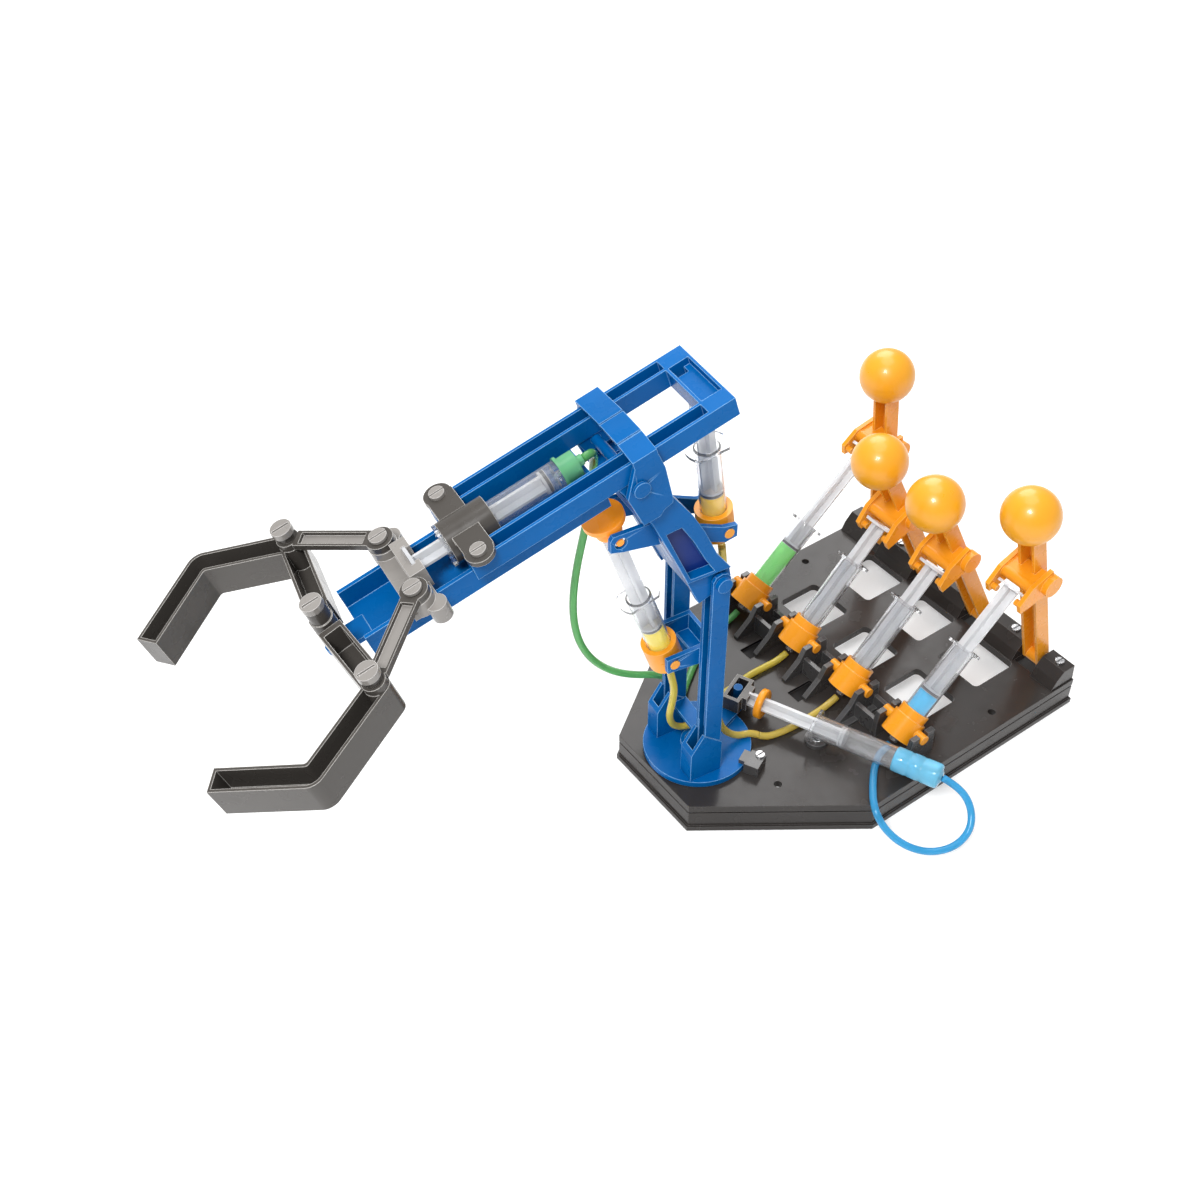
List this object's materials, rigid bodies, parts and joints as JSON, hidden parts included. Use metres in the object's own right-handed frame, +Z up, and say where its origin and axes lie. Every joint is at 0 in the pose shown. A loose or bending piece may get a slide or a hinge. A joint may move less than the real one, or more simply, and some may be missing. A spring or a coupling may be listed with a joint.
{
  "type": "hydraulic robot arm kit",
  "caption": "Syringe-driven robot arm with a two-finger gripper on a turntable, worked through liquid-filled tubes by ball-topped levers at the rear of its base.",
  "frame": {"origin": "on the turntable's axis, at the surface that the base stands on", "axes": "+Z up; +X from the turntable to the control levers, so the gripper points towards -X; +Y towards the gripper's control lever"},
  "size_m": [0.4685, 0.2324, 0.2667],
  "materials": {
    "charcoal_deck": "polished",
    "blue_plastic": "satin",
    "pale_plastic": "satin",
    "orange_plastic": "polished",
    "clear_plastic": "clear",
    "plunger_plastic": "satin",
    "grey_plastic": "satin",
    "steel": "nickel plated",
    "tube_green": "clear tube with green liquid",
    "tube_yellow": "clear tube with yellow liquid",
    "tube_amber": "clear tube with amber liquid",
    "tube_blue": "clear tube with blue liquid"
  },
  "bodies": {
    "root": {"base_deck": "charcoal_deck", "base_skirt": "charcoal_deck", "lever_housing": "charcoal_deck", "lever_axle": "steel", "base_screws": "steel", "syringe_rack": "charcoal_deck", "turntable_clip": "charcoal_deck", "tube_green_base": "tube_green", "tube_yellow_base": "tube_yellow", "tube_amber_base": "tube_amber", "tube_blue": "tube_blue"},
    "turntable": {"turntable_disc": "blue_plastic", "tower_frame": "blue_plastic", "shoulder_pin": "blue_plastic", "tube_green_loop": "tube_green", "tube_yellow_tower": "tube_yellow", "tube_amber_tower": "tube_amber"},
    "upper_arm": {"upper_arm_frame": "blue_plastic", "elbow_pin": "blue_plastic"},
    "forearm": {"forearm_frame": "blue_plastic", "front_beam": "blue_plastic", "wrist_clamp": "grey_plastic", "clamp_screws": "pale_plastic", "gripper_barrel": "clear_plastic", "gripper_cap": "clear_plastic", "finger_pivot_pin": "pale_plastic", "tube_green_arm": "tube_green"},
    "crosshead": {"crosshead": "grey_plastic", "crosshead_screws": "pale_plastic", "gripper_plunger": "plunger_plastic"},
    "finger_left": {"finger_left": "grey_plastic"},
    "finger_right": {"finger_right": "grey_plastic"},
    "link_left": {"link_left": "grey_plastic"},
    "link_right": {"link_right": "grey_plastic"},
    "lever_1": {"lever_1": "orange_plastic"},
    "master_1_barrel": {"master_1_barrel": "clear_plastic", "master_1_collar": "orange_plastic"},
    "master_1_plunger": {"master_1_plunger": "plunger_plastic"},
    "lever_2": {"lever_2": "orange_plastic"},
    "master_2_barrel": {"master_2_barrel": "clear_plastic", "master_2_collar": "orange_plastic"},
    "master_2_plunger": {"master_2_plunger": "plunger_plastic"},
    "lever_3": {"lever_3": "orange_plastic"},
    "master_3_barrel": {"master_3_barrel": "clear_plastic", "master_3_collar": "orange_plastic"},
    "master_3_plunger": {"master_3_plunger": "plunger_plastic"},
    "lever_4": {"lever_4": "orange_plastic"},
    "master_4_barrel": {"master_4_barrel": "clear_plastic", "master_4_collar": "orange_plastic"},
    "master_4_plunger": {"master_4_plunger": "plunger_plastic"},
    "lift_barrel": {"lift_barrel": "clear_plastic", "lift_cup": "orange_plastic"},
    "lift_plunger": {"lift_plunger": "plunger_plastic", "lift_cap": "orange_plastic"},
    "reach_barrel": {"reach_barrel": "clear_plastic", "reach_cup": "orange_plastic"},
    "reach_plunger": {"reach_plunger": "plunger_plastic"},
    "swing_barrel": {"swing_barrel": "clear_plastic"},
    "swing_plunger": {"swing_plunger": "plunger_plastic", "swing_clip": "grey_plastic"}
  },
  "joints": [
    {"name": "turntable_turn", "type": "hinge", "parent": "root", "child": "turntable", "pos_m": [0, 0, 0], "axis": [0, 0, 1], "range_deg": [-20, 34]},
    {"name": "shoulder", "type": "hinge", "parent": "turntable", "child": "upper_arm", "pos_m": [-0.00496, 0.00061, 0.16], "axis": [-0.1219, -0.9925, 0], "range_deg": [-10, 25]},
    {"name": "elbow", "type": "hinge", "parent": "upper_arm", "child": "forearm", "pos_m": [-0.05142, 0.00631, 0.23827], "axis": [0.1219, 0.9925, 0], "range_deg": [-2, 21]},
    {"name": "finger_left", "type": "hinge", "parent": "forearm", "child": "finger_left", "pos_m": [-0.18671, 0.02293, 0.19942], "axis": [-0.2935, 0.036, 0.9553], "range_deg": [-3, 22]},
    {"name": "finger_right", "type": "hinge", "parent": "forearm", "child": "finger_right", "pos_m": [-0.18671, 0.02293, 0.19942], "axis": [0.2935, -0.036, -0.9553], "range_deg": [-3.01, 22.01]},
    {"name": "crosshead_slide", "type": "slide", "parent": "forearm", "child": "crosshead", "axis": [-0.9482, 0.1164, -0.2957], "range_m": [-0.00245, 0.01791]},
    {"name": "link_left_turn", "type": "hinge", "parent": "finger_left", "child": "link_left", "pos_m": [-0.17581, 0.07096, 0.20096], "axis": [-0.2935, 0.036, 0.9553], "range_deg": [-20.31, 2.78]},
    {"name": "link_right_turn", "type": "hinge", "parent": "finger_right", "child": "link_right", "pos_m": [-0.18775, -0.02632, 0.20096], "axis": [0.2935, -0.036, -0.9553], "range_deg": [-20.31, 2.78]},
    {"name": "lever_1_swing", "type": "hinge", "parent": "root", "child": "lever_1", "pos_m": [0.198, 0.0642, 0.022], "axis": [0, 1, 0], "range_deg": [-12.9, 1.77]},
    {"name": "master_1_pivot", "type": "hinge", "parent": "root", "child": "master_1_barrel", "pos_m": [0.092, 0.0642, 0.033], "axis": [0, 1, 0], "range_deg": [-3.65, 0.51]},
    {"name": "master_1_stroke", "type": "slide", "parent": "master_1_barrel", "child": "master_1_plunger", "axis": [0.757, 0, 0.6535], "range_m": [-0.01791, 0.00245]},
    {"name": "lever_2_swing", "type": "hinge", "parent": "root", "child": "lever_2", "pos_m": [0.198, 0.0214, 0.022], "axis": [0, 1, 0], "range_deg": [-4.58, 11.44]},
    {"name": "master_2_pivot", "type": "hinge", "parent": "root", "child": "master_2_barrel", "pos_m": [0.092, 0.0214, 0.033], "axis": [0, 1, 0], "range_deg": [-0.84, 2.09]},
    {"name": "master_2_stroke", "type": "slide", "parent": "master_2_barrel", "child": "master_2_plunger", "axis": [0.6971, 0, 0.717], "range_m": [-0.00662, 0.01654]},
    {"name": "lever_3_swing", "type": "hinge", "parent": "root", "child": "lever_3", "pos_m": [0.198, -0.0214, 0.022], "axis": [0, 1, 0], "range_deg": [-1.15, 11.99]},
    {"name": "master_3_pivot", "type": "hinge", "parent": "root", "child": "master_3_barrel", "pos_m": [0.092, -0.0214, 0.033], "axis": [0, 1, 0], "range_deg": [-0.23, 2.36]},
    {"name": "master_3_stroke", "type": "slide", "parent": "master_3_barrel", "child": "master_3_plunger", "axis": [0.6962, 0, 0.7179], "range_m": [-0.00166, 0.0173]},
    {"name": "lever_4_swing", "type": "hinge", "parent": "root", "child": "lever_4", "pos_m": [0.198, -0.0642, 0.022], "axis": [0, 1, 0], "range_deg": [-14.57, 8.57]},
    {"name": "master_4_pivot", "type": "hinge", "parent": "root", "child": "master_4_barrel", "pos_m": [0.092, -0.0642, 0.033], "axis": [0, 1, 0], "range_deg": [-3.18, 1.87]},
    {"name": "master_4_stroke", "type": "slide", "parent": "master_4_barrel", "child": "master_4_plunger", "axis": [0.7235, 0, 0.6903], "range_m": [-0.02078, 0.01222]},
    {"name": "lift_pivot", "type": "hinge", "parent": "turntable", "child": "lift_barrel", "pos_m": [-0.02382, 0.00293, 0.106], "axis": [0.1219, 0.9925, 0], "range_deg": [-13.54, 5.42]},
    {"name": "lift_stroke", "type": "slide", "parent": "lift_barrel", "child": "lift_plunger", "axis": [-0.3093, 0.038, 0.9502], "range_m": [-0.01653, 0.00662]},
    {"name": "reach_pivot", "type": "hinge", "parent": "upper_arm", "child": "reach_barrel", "pos_m": [0.00347, -0.00043, 0.1805], "axis": [0.1219, 0.9925, 0], "range_deg": [-0.0779, 0.7232]},
    {"name": "reach_stroke", "type": "slide", "parent": "reach_barrel", "child": "reach_plunger", "axis": [-0.1404, 0.0172, 0.9899], "range_m": [-0.0173, 0.00166]},
    {"name": "swing_pivot", "type": "hinge", "parent": "root", "child": "swing_barrel", "pos_m": [0.055, -0.036, 0.03], "axis": [0, 0, 1], "range_deg": [-1.02, 0.6]},
    {"name": "swing_stroke", "type": "slide", "parent": "swing_barrel", "child": "swing_plunger", "axis": [-0.4007, 0.9162, 0], "range_m": [-0.01222, 0.02077]}
  ],
  "couplings": [
    {"joint": "finger_right", "follows": "finger_left", "ratio": 1},
    {"joint": "crosshead_slide", "follows": "finger_left", "m_per_rad": 0.046608},
    {"joint": "link_left_turn", "follows": "finger_left", "ratio": -0.92271},
    {"joint": "link_right_turn", "follows": "finger_left", "ratio": -0.92271},
    {"joint": "lever_1_swing", "follows": "finger_left", "ratio": -0.58591},
    {"joint": "master_1_pivot", "follows": "finger_left", "ratio": -0.16547},
    {"joint": "master_1_stroke", "follows": "finger_left", "m_per_rad": -0.046609},
    {"joint": "lever_2_swing", "follows": "shoulder", "ratio": 0.45708},
    {"joint": "master_2_pivot", "follows": "shoulder", "ratio": 0.083038},
    {"joint": "master_2_stroke", "follows": "shoulder", "m_per_rad": 0.037872},
    {"joint": "lever_3_swing", "follows": "elbow", "ratio": 0.57059},
    {"joint": "master_3_pivot", "follows": "elbow", "ratio": 0.11189},
    {"joint": "master_3_stroke", "follows": "elbow", "m_per_rad": 0.047176},
    {"joint": "lever_4_swing", "follows": "turntable_turn", "ratio": -0.42824},
    {"joint": "master_4_pivot", "follows": "turntable_turn", "ratio": -0.093242},
    {"joint": "master_4_stroke", "follows": "turntable_turn", "m_per_rad": -0.034993},
    {"joint": "lift_pivot", "follows": "shoulder", "ratio": -0.54119},
    {"joint": "lift_stroke", "follows": "shoulder", "m_per_rad": -0.037851},
    {"joint": "reach_pivot", "follows": "elbow", "ratio": 0.033964},
    {"joint": "reach_stroke", "follows": "elbow", "m_per_rad": -0.047176},
    {"joint": "swing_pivot", "follows": "turntable_turn", "ratio": -0.029564},
    {"joint": "swing_stroke", "follows": "turntable_turn", "m_per_rad": 0.034983}
  ]
}
